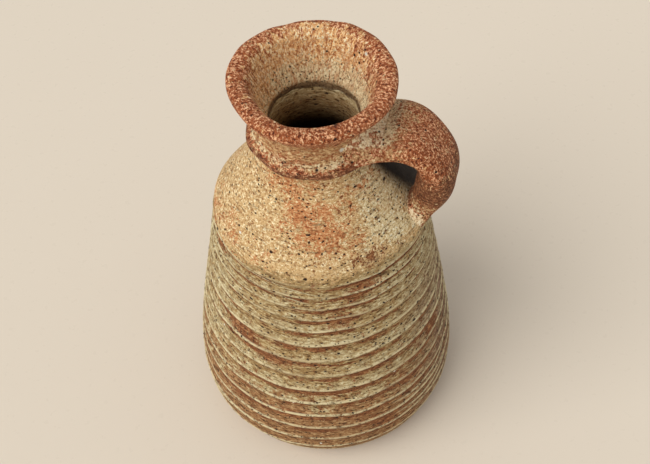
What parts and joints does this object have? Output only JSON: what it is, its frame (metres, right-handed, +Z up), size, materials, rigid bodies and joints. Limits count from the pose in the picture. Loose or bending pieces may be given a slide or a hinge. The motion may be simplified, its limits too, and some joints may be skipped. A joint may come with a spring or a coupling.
{
  "type": "jug vase",
  "caption": "Wheel-thrown stoneware jug vase with a spirally ribbed body, flared funnel mouth and one small strap handle at the neck.",
  "frame": {"origin": "centre of the flat foot, on the surface it stands on", "axes": "+Z up along the turning axis towards the mouth, +X towards the strap handle, +Y to the handle's side"},
  "size_m": [0.1464, 0.1464, 0.233],
  "materials": {
    "ribbed_stoneware": "matte ash-toned stoneware, sandy on the crests and rust brown in the grooves, with iron specks",
    "rim_stoneware": "matte rust-brown stoneware with pale beige flecks and golden ash inside the funnel",
    "joint_clay": "matte brown stoneware, smoothed by hand, with pale ash patches"
  },
  "bodies": {
    "root": {"thrown_body": "ribbed_stoneware", "mouth_collar": "rim_stoneware", "throat_coil": "joint_clay", "strap_handle": "rim_stoneware", "handle_root_clay": "joint_clay", "handle_heel_clay": "joint_clay"}
  },
  "joints": []
}
